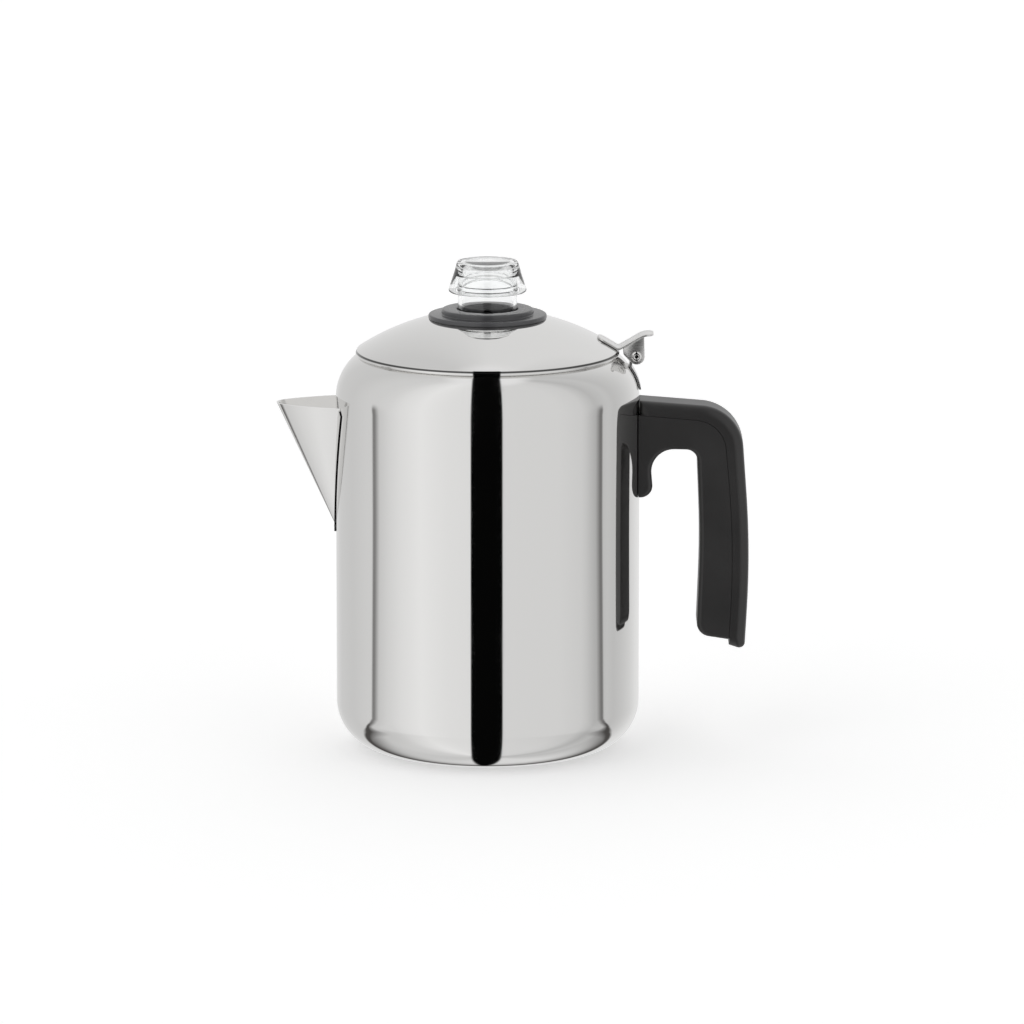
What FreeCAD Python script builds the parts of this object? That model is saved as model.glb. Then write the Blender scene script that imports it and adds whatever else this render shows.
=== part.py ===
"""Stovetop coffee percolator: pot, hinged lid with a clear knob, handle, pump and basket.

Millimetres. +Z is up, the spout points to -X and the handle to +X.
The origin is the centre of the pot's flat base.
"""
import math
import os
import re

import FreeCAD
import Part
import Sketcher

# Driving dimensions. Each becomes one cell of the spreadsheet, with its name as the alias.
SIZES = {
    # pot
    "pot_r": 66.0,
    "wall": 0.8,
    "base_corner": 20.5,
    "wall_top": 154.2,
    "shoulder_arc": 23.0,
    "shoulder_inset": 14.2,
    "bead_r": 1.3,
    # general clearances
    "weld_gap": 0.05,
    "loose": 0.3,
    "running": 0.06,
    # spout
    "spout_reach": 25.8,
    "spout_root": 2.0,
    "spout_below": 2.2,
    "spout_tall": 59.4,
    "spout_wall": 0.8,
    "nose_back": 3.0,
    "nose_half": 6.6,
    "nose_arc": 8.8,
    "side_back": 39.8,
    "side_half": 19.1,
    "side_arc": 71.0,
    "flange_half": 20.5,
    "flange_tall": 56.0,
    # pouring opening
    "pour_half": 13.0,
    "pour_tall": 41.0,
    "pour_below": 5.0,
    "pour_root": 1.5,
    "pour_corner": 3.0,
    # handle
    "handle_below": 0.2,
    "handle_wide": 21.0,
    "finger_room": 26.1,
    "web_deep": 14.5,
    "strap_deep": 7.0,
    "grip_round": 2.0,
    "strap_round": 4.0,
    "seam_gap": 0.2,
    # handle bracket and screw
    "bracket_wide": 12.0,
    "bracket_foot": 1.3,
    "bracket_tongue": 2.5,
    "bracket_long": 20.0,
    "bracket_tall": 26.0,
    "screw_r": 2.0,
    "screw_head_r": 3.6,
    "screw_head_tall": 2.0,
    "screw_out": 15.0,
    # hinge
    "hinge_in": 1.4,
    "hinge_up": 18.7,
    "pin_r": 1.3,
    "knuckle_r": 2.3,
    "ear_r": 3.5,
    "ear_long": 5.7,
    "hinge_wide": 12.0,
    "hinge_sheet": 0.9,
    "rivet_r": 2.3,
    "rivet_tall": 0.9,
    "strap_low": 4.0,
    "strap_high": 14.0,
    # lid
    "lid_over": 5.5,
    "lid_arc": 104.0,
    "lid_wall": 0.7,
    "hem_tall": 1.8,
    "lid_gap": 0.35,
    "leaf_on_lid": 9.9,
    "lever_out": 7.4,
    "lever_up": 9.2,
    "plug_gap": 0.6,
    "plug_deep": 8.0,
    "plug_flange": 4.7,
    # collar and its nut
    "collar_r": 25.7,
    "collar_top_r": 20.0,
    "collar_low": 2.1,
    "collar_high": 2.2,
    "collar_edge": 0.5,
    "collar_tail": 7.3,
    "tail_wall": 2.3,
    "nut_wide": 3.8,
    "nut_tall": 3.0,
    # knob
    "neck_r": 12.85,
    "neck_wall": 1.5,
    "neck_gap": 0.45,
    "knob_above": 20.9,
    "knob_cap": 1.6,
    "skirt_r": 16.9,
    "skirt_wall": 1.7,
    "skirt_above": 7.4,
    "skirt_tall": 8.2,
    "skirt_arc": 30.0,
    "knob_edge": 1.6,
    "lug_out": 1.4,
    "lug_wide": 4.0,
    "lug_tall": 2.0,
    "lug_turn": 60.0,
    # pump
    "tube_r": 4.0,
    "tube_wall": 0.7,
    "tube_in_neck": 2.4,
    "bell_r": 34.0,
    "bell_tall": 13.9,
    "bell_lip": 2.0,
    "bell_crown": 11.0,
    "bell_arc": 34.0,
    "bell_wall": 0.7,
    "stop_wide": 2.2,
    "stop_tall": 3.0,
    "cage_r": 9.0,
    "cage_wall": 0.6,
    "cage_tall": 6.0,
    "disc_gap": 0.8,
    "disc_thick": 0.8,
    # basket
    "basket_inset": 5.6,
    "basket_wall": 0.6,
    "basket_tall": 52.0,
    "basket_above": 1.8,
    "basket_corner": 3.0,
    "basket_bead": 0.9,
    "sleeve_wall": 0.68,
    "sleeve_tall": 46.0,
    "sleeve_foot": 1.4,
    "spreader_deep": 2.0,
    "hub_gap": 1.2,
    "hub_wide": 3.8,
    "hub_tall": 4.0,
    "hole_r": 1.2,
}

# Lengths that several pieces share, as formulas of the cells above.
MOUTH_R = "(pot_r - shoulder_inset)"
SHOULDER_RHO = "(pot_r - shoulder_arc)"
LID_RIM = f"({MOUTH_R} + lid_over)"
RIM_Z = (
    "(wall_top + lid_gap + hem_tall"
    f" + sqrt(shoulder_arc^2 - ({LID_RIM} - lid_wall - {SHOULDER_RHO})^2))"
)
LID_CENTRE = f"({RIM_Z} - sqrt(lid_arc^2 - {LID_RIM}^2))"
LID_INNER = "(lid_arc - lid_wall)"
HINGE_X = "(pot_r - hinge_in)"
HINGE_Z = "(wall_top + hinge_up)"
SPOUT_RIM = "(wall_top - spout_below)"
HANDLE_TOP = "(wall_top - handle_below)"
BORE_R = "(neck_r + neck_gap)"
TAIL_R = f"({BORE_R} + tail_wall)"
FLOOR = "(wall + loose)"
CROWN_Z = f"({FLOOR} + bell_tall)"
BASKET_R = f"({MOUTH_R} - basket_inset)"
BASKET_TOP = "(wall_top + basket_above)"
BASKET_FLOOR = f"({BASKET_TOP} - basket_tall)"
SLEEVE_R = "(tube_r + loose + sleeve_wall)"
STOP_TOP = f"({BASKET_FLOOR} - loose)"


def dome_z(rho, radius):
    """Height, at distance rho from the axis, of a sphere about the lid's centre."""
    return f"({LID_CENTRE} + sqrt(({radius})^2 - ({rho})^2))"


def shoulder_x(up, radius):
    """Distance from the axis, up above the straight wall, of an arc about the shoulder's centre."""
    return f"({SHOULDER_RHO} + sqrt(({radius})^2 - ({up})^2))"


COLLAR_STEP = f"({dome_z('collar_r', 'lid_arc')} + collar_low)"
COLLAR_TOP = f"({COLLAR_STEP} + collar_high)"
TAIL_Z = f"({COLLAR_TOP} - collar_tail)"
NECK_Z = f"({TAIL_Z} - loose - lug_tall)"
KNOB_TOP = f"({COLLAR_TOP} + knob_above)"

doc = FreeCAD.newDocument("percolator")
sheet = doc.addObject("Spreadsheet::Sheet", "Sizes")
for row, (name, number) in enumerate(SIZES.items(), start=1):
    sheet.set(f"A{row}", name)
    sheet.set(f"B{row}", str(number))
    sheet.setAlias(f"B{row}", name)
doc.recompute()

nodes = []


def bound(text):
    """The formula with each size's name pointing at its cell."""
    def to_cell(match):
        word = match.group()
        return f"Sizes.{word}" if word in SIZES else word

    return re.sub(r"[a-z_]\w*", to_cell, text)


def value(text):
    return float(sheet.evalExpression(bound(text)))


def new_body(label):
    body = doc.addObject("PartDesign::Body", label)
    body.Label = label
    nodes.append(body)
    return body


def origin_part(body, role):
    return next(item for item in body.Origin.OriginFeatures if item.Role == role)


def new_sketch(body, role, offset="0"):
    """A sketch on one of the body's origin planes, moved along the plane's normal."""
    sketch = body.newObject("Sketcher::SketchObject", f"{body.Name}_sketch")
    sketch.AttachmentSupport = [(origin_part(body, role), "")]
    sketch.MapMode = "FlatFace"
    if offset != "0":
        sketch.setExpression("AttachmentOffset.Base.z", bound(offset))
    return sketch


def place(sketch, geometry, point, x, y):
    """Binds one point of a sketch to two formulas."""
    for kind, axis, text in (("DistanceX", -2, x), ("DistanceY", -1, y)):
        if text == "0":
            sketch.addConstraint(Sketcher.Constraint("PointOnObject", geometry, point, axis))
            continue
        index = sketch.addConstraint(
            Sketcher.Constraint(kind, -1, 1, geometry, point, value(text))
        )
        sketch.setExpression(f"Constraints[{index}]", bound(text))


def draw_circle(sketch, x, y, radius):
    centre = FreeCAD.Vector(value(x), value(y), 0)
    circle = Part.Circle(centre, FreeCAD.Vector(0, 0, 1), value(radius))
    geometry = sketch.addGeometry(circle, False)
    index = sketch.addConstraint(Sketcher.Constraint("Radius", geometry, value(radius)))
    sketch.setExpression(f"Constraints[{index}]", bound(radius))
    if (x, y) == ("0", "0"):
        sketch.addConstraint(Sketcher.Constraint("Coincident", geometry, 3, -1, 1))
    else:
        place(sketch, geometry, 3, x, y)


def arc_between(start, end, radius, side):
    """Arc under half a turn. side is 1 with the centre on the left of the way, -1 on the right."""
    chord = end - start
    half = chord.Length / 2
    left = FreeCAD.Vector(-chord.y, chord.x, 0) / chord.Length
    centre = (start + end) / 2 + left * side * math.sqrt(radius**2 - half**2)
    first, last = (start, end) if side > 0 else (end, start)
    angles = [math.atan2(p.y - centre.y, p.x - centre.x) for p in (first, last)]
    return Part.ArcOfCircle(Part.Circle(centre, FreeCAD.Vector(0, 0, 1), radius), *angles)


def draw_outline(sketch, corners, arcs=()):
    """Closed outline. arcs maps an edge's number to its radius and the side of its centre."""
    arcs = dict(arcs)
    points = [FreeCAD.Vector(value(x), value(y), 0) for x, y in corners]
    ends = []
    for number, start in enumerate(points):
        end = points[(number + 1) % len(points)]
        radius, side = arcs.get(number, ("0", 1))
        if number in arcs:
            curve = arc_between(start, end, value(radius), side)
        else:
            curve = Part.LineSegment(start, end)
        geometry = sketch.addGeometry(curve, False)
        ends.append((geometry, 1, 2) if side > 0 else (geometry, 2, 1))
    for number, (geometry, start, end) in enumerate(ends):
        following, following_start, _ = ends[(number + 1) % len(ends)]
        sketch.addConstraint(
            Sketcher.Constraint("Coincident", geometry, end, following, following_start)
        )
        place(sketch, geometry, start, *corners[number])
        if number in arcs:
            radius = arcs[number][0]
            index = sketch.addConstraint(Sketcher.Constraint("Radius", geometry, value(radius)))
            sketch.setExpression(f"Constraints[{index}]", bound(radius))


def draw_rounded(sketch, corners):
    """Closed polygon whose corners (x, y, radius) are rounded, and stay sharp at a radius of 0."""
    points = [FreeCAD.Vector(value(x), value(y), 0) for x, y, _ in corners]
    count = len(points)
    ends = []
    for number, (_, _, radius) in enumerate(corners):
        point = points[number]
        to_last = (points[number - 1] - point).normalize()
        to_next = (points[(number + 1) % count] - point).normalize()
        room = value(radius) / math.tan(to_last.getAngle(to_next) / 2)
        ends.append((point + to_last * room, point + to_next * room))
    lines = []
    for number in range(count):
        line = Part.LineSegment(ends[number][1], ends[(number + 1) % count][0])
        lines.append(sketch.addGeometry(line, False))
    for number, (x, y, radius) in enumerate(corners):
        before, after = lines[number - 1], lines[number]
        if radius == "0":
            join = Sketcher.Constraint("Coincident", before, 2, after, 1)
            sketch.addConstraint(join)
            place(sketch, after, 1, x, y)
            continue
        start, end = ends[number]
        turn = (start - points[number]).cross(end - points[number]).z
        curve = arc_between(start, end, value(radius), 1 if turn < 0 else -1)
        arc = sketch.addGeometry(curve, False)
        first, last = (1, 2) if turn < 0 else (2, 1)
        corner = sketch.addGeometry(Part.Point(points[number]), True)
        sketch.addConstraint(
            [
                Sketcher.Constraint("Tangent", before, 2, arc, first),
                Sketcher.Constraint("Tangent", arc, last, after, 1),
                Sketcher.Constraint("PointOnObject", corner, 1, before),
                Sketcher.Constraint("PointOnObject", corner, 1, after),
            ]
        )
        place(sketch, corner, 1, x, y)
        index = sketch.addConstraint(Sketcher.Constraint("Radius", arc, value(radius)))
        sketch.setExpression(f"Constraints[{index}]", bound(radius))


def revolve(body, corners, arcs=()):
    """Turns an outline in the XZ plane once round the Z axis."""
    sketch = new_sketch(body, "XZ_Plane")
    draw_outline(sketch, corners, arcs)
    feature = body.newObject("PartDesign::Revolution", f"{body.Name}_turned")
    feature.Profile = sketch
    feature.ReferenceAxis = (sketch, ["V_Axis"])
    feature.Angle = 360


def revolve_bead(body, x, y, radius):
    """Adds a round ring, such as a rolled edge."""
    sketch = new_sketch(body, "XZ_Plane")
    draw_circle(sketch, x, y, radius)
    feature = body.newObject("PartDesign::Revolution", f"{body.Name}_bead")
    feature.Profile = sketch
    feature.ReferenceAxis = (sketch, ["V_Axis"])
    feature.Angle = 360


def pad(body, sketch, length, symmetric=False):
    feature = body.newObject("PartDesign::Pad", f"{body.Name}_pad")
    feature.Profile = sketch
    feature.setExpression("Length", bound(length))
    if symmetric:
        feature.SideType = "Symmetric"
    return feature


def pocket(body, sketch, length=None, upward=False):
    """Cuts a sketch's shape: right through both ways, or by a length, and checks that it cut."""
    doc.recompute()
    before = body.Shape.Volume
    feature = body.newObject("PartDesign::Pocket", f"{body.Name}_pocket")
    feature.Profile = sketch
    if length is None:
        feature.Type = "ThroughAll"
        feature.SideType = "Symmetric"
    else:
        feature.setExpression("Length", bound(length))
        feature.Reversed = upward
    doc.recompute()
    if not body.Shape.Volume < before:
        raise RuntimeError(f"a cut in {body.Label} removes nothing")
    return feature


def round_edges(body, chosen, radius):
    """Rounds the edges of the body for which chosen(middle of the edge) holds."""
    doc.recompute()
    base = body.Tip
    names = []
    for number, edge in enumerate(base.Shape.Edges, start=1):
        middle = edge.valueAt((edge.FirstParameter + edge.LastParameter) / 2)
        if chosen(middle):
            names.append(f"Edge{number}")
    feature = body.newObject("PartDesign::Fillet", f"{body.Name}_fillet")
    feature.Base = (base, names)
    feature.setExpression("Radius", bound(radius))


def polar_pattern(body, feature, count, angle=360):
    pattern = body.newObject("PartDesign::PolarPattern", f"{body.Name}_pattern")
    pattern.Originals = [feature]
    pattern.Axis = (origin_part(body, "Z_Axis"), [""])
    pattern.Angle = angle
    pattern.Occurrences = count
    body.Tip = pattern


def cut_to_pot(body, clearance):
    """Hollows the side of a piece that lies on the pot's wall."""
    sketch = new_sketch(body, "XY_Plane")
    draw_circle(sketch, "0", "0", f"pot_r + {clearance}")
    pocket(body, sketch)


# ---------------------------------------------------------------- pot

def make_pot_shell():
    body = new_body("pot_shell")
    bead_rho = f"({MOUTH_R} + bead_r)"
    bead_seat = f"({LID_INNER} - loose - bead_r)"
    inner_r = "pot_r - wall"
    inner_arc = "shoulder_arc - wall"
    end_x = f"({bead_rho} - {SHOULDER_RHO})"
    corners = [
        ("0", "0"),
        ("pot_r - base_corner", "0"),
        ("pot_r", "base_corner"),
        ("pot_r", "wall_top"),
        (bead_rho, f"wall_top + sqrt(shoulder_arc^2 - {end_x}^2)"),
        (bead_rho, f"wall_top + sqrt(({inner_arc})^2 - {end_x}^2)"),
        (inner_r, "wall_top"),
        (inner_r, "base_corner"),
        ("pot_r - base_corner", "wall"),
        ("0", "wall"),
    ]
    arcs = {
        1: ("base_corner", 1),
        3: ("shoulder_arc", 1),
        5: (inner_arc, -1),
        7: ("base_corner - wall", -1),
    }
    revolve(body, corners, arcs)
    revolve_bead(body, bead_rho, dome_z(bead_rho, bead_seat), "bead_r")
    sketch = new_sketch(body, "YZ_Plane")
    top = f"({SPOUT_RIM} - pour_below)"
    foot = f"({top} - pour_tall)"
    draw_outline(
        sketch,
        [
            ("-pour_root", foot),
            ("pour_root", foot),
            ("pour_half - pour_corner / 3", f"{top} - pour_corner"),
            ("pour_half - pour_corner", top),
            ("pour_corner - pour_half", top),
            ("pour_corner / 3 - pour_half", f"{top} - pour_corner"),
        ],
        {2: ("pour_corner", 1), 4: ("pour_corner", 1)},
    )
    pocket(body, sketch, "pot_r + wall")


def spout_outline(share, inset):
    """The spout's level outline, share of the way from its root point up to its rim."""
    root_x = "-(pot_r - spout_root)"
    tip = "(spout_reach + spout_root)"
    nose_x = f"{root_x} - {share} * ({tip} - nose_back) + {inset} / 2"
    side_x = f"{root_x} - {share} * ({tip} - side_back)"
    nose_y = f"({share} * nose_half - {inset} * 0.8)"
    side_y = f"({share} * side_half - {inset})"
    corners = [
        (side_x, side_y),
        (nose_x, nose_y),
        (nose_x, f"-{nose_y}"),
        (side_x, f"-{side_y}"),
    ]
    nose = (f"{share} * nose_arc - {inset} / 2", 1)
    side = (f"{share} * side_arc", 1)
    return corners, {0: side, 1: nose, 2: side}


def make_spout():
    body = new_body("spout")
    root_z = f"({SPOUT_RIM} - spout_tall)"
    flange = new_sketch(body, "YZ_Plane")
    flange_top = f"({SPOUT_RIM} - 1)"
    flange_foot = f"({flange_top} - flange_tall)"
    draw_outline(
        flange,
        [
            ("-1.6", flange_foot),
            ("1.6", flange_foot),
            ("flange_half", f"{flange_top} - 2"),
            ("flange_half - 2", flange_top),
            ("2 - flange_half", flange_top),
            ("-flange_half", f"{flange_top} - 2"),
        ],
    )
    feature = pad(body, flange, "pot_r + spout_reach")
    feature.Reversed = True
    outside = new_sketch(body, "XY_Plane")
    draw_circle(outside, "0", "0", "pot_r + weld_gap + spout_wall")
    draw_circle(outside, "0", "0", "pot_r * 2")
    pocket(body, outside)
    for kind, inset, shares in (
        ("AdditiveLoft", "0", ("0.08", "1")),
        ("SubtractiveLoft", "spout_wall", ("0.12", "1.02")),
    ):
        sections = []
        for share in shares:
            level = new_sketch(body, "XY_Plane", f"{root_z} + {share} * spout_tall")
            draw_outline(level, *spout_outline(share, inset))
            sections.append(level)
        loft = body.newObject(f"PartDesign::{kind}", f"{body.Name}_channel")
        loft.Profile = sections[0]
        loft.Sections = [sections[1]]
        doc.recompute()
    cut_to_pot(body, "weld_gap")


def beside(out, down, radius="0"):
    """A corner of the handle's outline, out from the pot's wall and down from the handle's top."""
    return (f"pot_r + {out}", f"{HANDLE_TOP} - ({down})", radius)


SEAM = "finger_room + web_deep"
BACK = "finger_room + web_deep + strap_deep"


def seam_corners(gap, low, low_in):
    """Where the two mouldings of the handle meet, from the wall down to the low end."""
    return [
        beside("-2", f"5.9 + {gap}"),
        beside(f"{SEAM} - 4 - {gap}", f"9.3 + {gap}", "14"),
        beside(f"{SEAM} + 0.8 - {gap}", "64", "400"),
        beside(f"{SEAM} - {low_in} - {gap}", low),
    ]


def on_sides(half):
    """Test for a point on either flat side of the handle."""
    return lambda p: abs(abs(p.y) - half) < 0.01


def make_handle_grip():
    body = new_body("handle_grip")
    corners = [
        beside("-2", "42.7"),
        beside("6.1", "42.7", "5.2"),
        beside("4.2", "21.2", "9.8"),
        beside("finger_room - 1.2", "21.6", "5"),
        beside("finger_room + 0.4", "62", "400"),
        beside("finger_room - 1.2", "103.4", "6"),
    ]
    corners += reversed(seam_corners("seam_gap", "105.6", "1.36"))
    sketch = new_sketch(body, "XZ_Plane")
    draw_rounded(sketch, corners)
    pad(body, sketch, "handle_wide", symmetric=True)
    cut_to_pot(body, "loose")
    side = on_sides(value("handle_wide") / 2)
    wall_x = value("pot_r + 1")
    web_x = value(f"pot_r + {SEAM} - 4")
    arch_z = value(f"{HANDLE_TOP} - 21")
    round_edges(body, lambda p: side(p) and wall_x < p.x < web_x and p.z < arch_z, "grip_round")
    recess = new_sketch(body, "XZ_Plane")
    draw_outline(recess, bracket_outline("loose"))
    cut = pocket(body, recess, "bracket_wide + 2 * loose")
    cut.SideType = "Symmetric"
    for radius, start, length in (
        ("screw_r + loose", f"{SCREW_SEAT} - loose", "bracket_tongue + 9"),
        ("screw_head_r + loose", f"{SCREW_SEAT} - screw_head_tall - 4", "screw_head_tall + 4"),
    ):
        hole = new_sketch(body, "XY_Plane", start)
        draw_circle(hole, "pot_r + screw_out", "0", radius)
        pocket(body, hole, length, upward=True)


def make_handle_backstrap():
    body = new_body("handle_backstrap")
    corners = seam_corners("0", "108.3", "1.5")
    corners += [
        beside(f"{BACK} - 1.6", "110.6", "2.5"),
        beside(f"{BACK} + 0.8", "67", "400"),
        beside(f"{BACK} - 3.7", "3.7", "19.5"),
        beside("-2", "0"),
    ]
    sketch = new_sketch(body, "XZ_Plane")
    draw_rounded(sketch, corners)
    pad(body, sketch, "handle_wide", symmetric=True)
    cut_to_pot(body, "loose")
    side = on_sides(value("handle_wide") / 2)
    back_x = value(f"pot_r + {BACK} - 4.5")
    turn_x = value(f"pot_r + {SEAM} - 4")
    top_z = value(f"{HANDLE_TOP} - 4.5")
    turn_z = value(f"{HANDLE_TOP} - 10")
    round_edges(
        body,
        lambda p: side(p) and (p.x > back_x or p.z > top_z or (p.x > turn_x and p.z > turn_z)),
        "strap_round",
    )


TONGUE_Z = f"({HANDLE_TOP} - 16.5)"
SCREW_SEAT = f"({TONGUE_Z} - 2.6)"


def bracket_outline(room):
    """Side outline of the bracket, grown by room."""
    foot_z = f"({HANDLE_TOP} - 10 - bracket_tall)"
    return [
        ("pot_r - 6", f"{foot_z} - {room}"),
        (f"pot_r + bracket_foot + {room}", f"{foot_z} - {room}"),
        (f"pot_r + bracket_foot + {room}", f"{TONGUE_Z} - {room}"),
        (f"pot_r + bracket_long + {room}", f"{TONGUE_Z} - {room}"),
        (f"pot_r + bracket_long + {room}", f"{TONGUE_Z} + bracket_tongue + {room}"),
        (f"pot_r + bracket_foot + {room}", f"{TONGUE_Z} + bracket_tongue + {room}"),
        (f"pot_r + bracket_foot + {room}", f"{HANDLE_TOP} - 10 + {room}"),
        ("pot_r - 6", f"{HANDLE_TOP} - 10 + {room}"),
    ]


def make_handle_bracket():
    body = new_body("handle_bracket")
    sketch = new_sketch(body, "XZ_Plane")
    draw_outline(sketch, bracket_outline("0"))
    pad(body, sketch, "bracket_wide", symmetric=True)
    cut_to_pot(body, "weld_gap")
    hole = new_sketch(body, "XY_Plane")
    draw_circle(hole, "pot_r + screw_out", "0", "screw_r + running")
    pocket(body, hole)


def make_handle_screw():
    body = new_body("handle_screw")
    head = new_sketch(body, "XY_Plane", f"{SCREW_SEAT} - screw_head_tall")
    draw_circle(head, "pot_r + screw_out", "0", "screw_head_r")
    pad(body, head, "screw_head_tall")
    shank = new_sketch(body, "XY_Plane", f"{SCREW_SEAT} - 0.5")
    draw_circle(shank, "pot_r + screw_out", "0", "screw_r")
    pad(body, shank, "bracket_tongue + 5")
    slot = new_sketch(body, "XY_Plane", f"{SCREW_SEAT} - screw_head_tall")
    draw_outline(
        slot,
        [
            ("pot_r + screw_out - 5", "-0.5"),
            ("pot_r + screw_out + 5", "-0.5"),
            ("pot_r + screw_out + 5", "0.5"),
            ("pot_r + screw_out - 5", "0.5"),
        ],
    )
    pocket(body, slot, "screw_head_tall / 2", upward=True)


# ---------------------------------------------------------------- hinge

EAR_GAP = "(hinge_wide / 2 - hinge_sheet)"


def make_hinge_bracket():
    body = new_body("hinge_bracket")
    near = "(shoulder_arc + weld_gap)"
    far = "(shoulder_arc + weld_gap + hinge_sheet)"
    strap = new_sketch(body, "XZ_Plane")
    draw_outline(
        strap,
        [
            (shoulder_x("strap_low", near), "wall_top + strap_low"),
            (shoulder_x("strap_low", far), "wall_top + strap_low"),
            (shoulder_x("strap_high", far), "wall_top + strap_high"),
            (f"{HINGE_X} - pin_r - 0.1", f"{HINGE_Z} - pin_r"),
            (f"{HINGE_X} - knuckle_r + 0.1", HINGE_Z),
            (shoulder_x("strap_high", near), "wall_top + strap_high"),
        ],
        {1: (far, 1), 5: (near, -1)},
    )
    pad(body, strap, f"2 * ({EAR_GAP} - loose)", symmetric=True)
    knuckle = new_sketch(body, "XZ_Plane")
    draw_circle(knuckle, HINGE_X, HINGE_Z, "knuckle_r")
    pad(body, knuckle, f"2 * ({EAR_GAP} - loose)", symmetric=True)
    bore = new_sketch(body, "XZ_Plane")
    draw_circle(bore, HINGE_X, HINGE_Z, "pin_r + running")
    pocket(body, bore)


def make_hinge_pin():
    body = new_body("hinge_pin")
    shaft = new_sketch(body, "XZ_Plane")
    draw_circle(shaft, HINGE_X, HINGE_Z, "pin_r")
    pad(body, shaft, "hinge_wide + rivet_tall", symmetric=True)
    seat = "(hinge_wide / 2 + weld_gap)"
    for offset in (seat, f"-{seat} - rivet_tall"):
        head = new_sketch(body, "XZ_Plane", offset)
        draw_circle(head, HINGE_X, HINGE_Z, "rivet_r")
        pad(body, head, "rivet_tall")


def make_lid_hinge_leaf():
    body = new_body("lid_hinge_leaf")
    under = "(lid_arc + weld_gap)"
    over = "(lid_arc + weld_gap + hinge_sheet)"
    start_x = f"({LID_RIM} - leaf_on_lid)"
    bend_x = f"({LID_RIM} - 0.4)"
    strap = new_sketch(body, "XZ_Plane")
    draw_outline(
        strap,
        [
            (start_x, dome_z(start_x, under)),
            (bend_x, dome_z(bend_x, under)),
            (f"{HINGE_X} + ear_r + 0.4", f"{HINGE_Z} + lever_up"),
            (f"{HINGE_X} + lever_out", f"{HINGE_Z} + lever_up - 0.4"),
            (f"{HINGE_X} + lever_out", f"{HINGE_Z} + lever_up - 0.4 + hinge_sheet"),
            (f"{HINGE_X} + ear_r", f"{HINGE_Z} + lever_up + hinge_sheet"),
            (bend_x, dome_z(bend_x, over)),
            (start_x, dome_z(start_x, over)),
        ],
        {0: (under, -1), 6: (over, 1)},
    )
    pad(body, strap, "hinge_wide", symmetric=True)
    for offset in (EAR_GAP, "-hinge_wide / 2"):
        ear = new_sketch(body, "XZ_Plane", offset)
        draw_outline(
            ear,
            [
                (f"{HINGE_X} - ear_long - 0.3", f"{HINGE_Z} + lever_up - 5.6"),
                (f"{HINGE_X} + ear_r - 0.2", f"{HINGE_Z} + lever_up - 0.1"),
                (f"{HINGE_X} + ear_r", HINGE_Z),
                (HINGE_X, f"{HINGE_Z} - ear_r"),
                (f"{HINGE_X} - ear_r * sin(45)", f"{HINGE_Z} - ear_r * cos(45)"),
                (f"{HINGE_X} - ear_long", f"{HINGE_Z} + 0.9"),
            ],
            {2: ("ear_r", -1), 3: ("ear_r", -1)},
        )
        pad(body, ear, "hinge_sheet")
    bore = new_sketch(body, "XZ_Plane")
    draw_circle(bore, HINGE_X, HINGE_Z, "pin_r + weld_gap")
    pocket(body, bore)


# ---------------------------------------------------------------- lid

def make_lid_dome():
    body = new_body("lid_dome")
    hole_r = f"({TAIL_R} + 0.2)"
    hem_in = f"({LID_RIM} - lid_wall)"
    corners = [
        (hem_in, f"{RIM_Z} - hem_tall"),
        (LID_RIM, f"{RIM_Z} - hem_tall"),
        (LID_RIM, RIM_Z),
        (hole_r, dome_z(hole_r, "lid_arc")),
        (hole_r, dome_z(hole_r, LID_INNER)),
        (hem_in, dome_z(hem_in, LID_INNER)),
    ]
    revolve(body, corners, {2: ("lid_arc", 1), 4: (LID_INNER, -1)})


def make_lid_plug_ring():
    body = new_body("lid_plug_ring")
    outer_r = f"({MOUTH_R} - plug_gap)"
    inner_r = f"({outer_r} - lid_wall)"
    flange_r = f"({outer_r} - plug_flange)"
    top = f"({LID_INNER} - weld_gap)"
    under = f"({top} - lid_wall)"
    foot_z = f"{dome_z(outer_r, top)} - plug_deep - hem_tall"
    corners = [
        (inner_r, foot_z),
        (outer_r, foot_z),
        (outer_r, dome_z(outer_r, top)),
        (flange_r, dome_z(flange_r, top)),
        (flange_r, dome_z(flange_r, under)),
        (inner_r, dome_z(inner_r, under)),
    ]
    revolve(body, corners, {2: (top, 1), 4: (under, -1)})


def make_knob_collar():
    body = new_body("knob_collar")
    seat = "(lid_arc + weld_gap)"
    corners = [
        (BORE_R, TAIL_Z),
        (TAIL_R, TAIL_Z),
        (TAIL_R, dome_z(TAIL_R, seat)),
        ("collar_r", dome_z("collar_r", seat)),
        ("collar_r", f"{COLLAR_STEP} - collar_edge"),
        ("collar_r - collar_edge", COLLAR_STEP),
        ("collar_top_r", COLLAR_STEP),
        ("collar_top_r", f"{COLLAR_TOP} - collar_edge"),
        ("collar_top_r - collar_edge", COLLAR_TOP),
        (BORE_R, COLLAR_TOP),
    ]
    arcs = {2: (seat, -1), 4: ("collar_edge", 1), 7: ("collar_edge", 1)}
    revolve(body, corners, arcs)
    slot = new_sketch(body, "XY_Plane")
    half_wide = "(lug_wide / 2 + loose)"
    half_long = "(neck_r + lug_out + loose)"
    draw_outline(
        slot,
        [
            (f"-{half_wide}", f"-{half_long}"),
            (half_wide, f"-{half_long}"),
            (half_wide, half_long),
            (f"-{half_wide}", half_long),
        ],
    )
    pocket(body, slot)


def make_collar_nut():
    body = new_body("collar_nut")
    bore = f"({TAIL_R} + weld_gap)"
    rim = f"({bore} + nut_wide)"
    top = f"({dome_z(rim, LID_INNER)} - weld_gap)"
    corners = [(bore, f"{top} - nut_tall"), (rim, f"{top} - nut_tall"), (rim, top), (bore, top)]
    revolve(body, corners)


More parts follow.
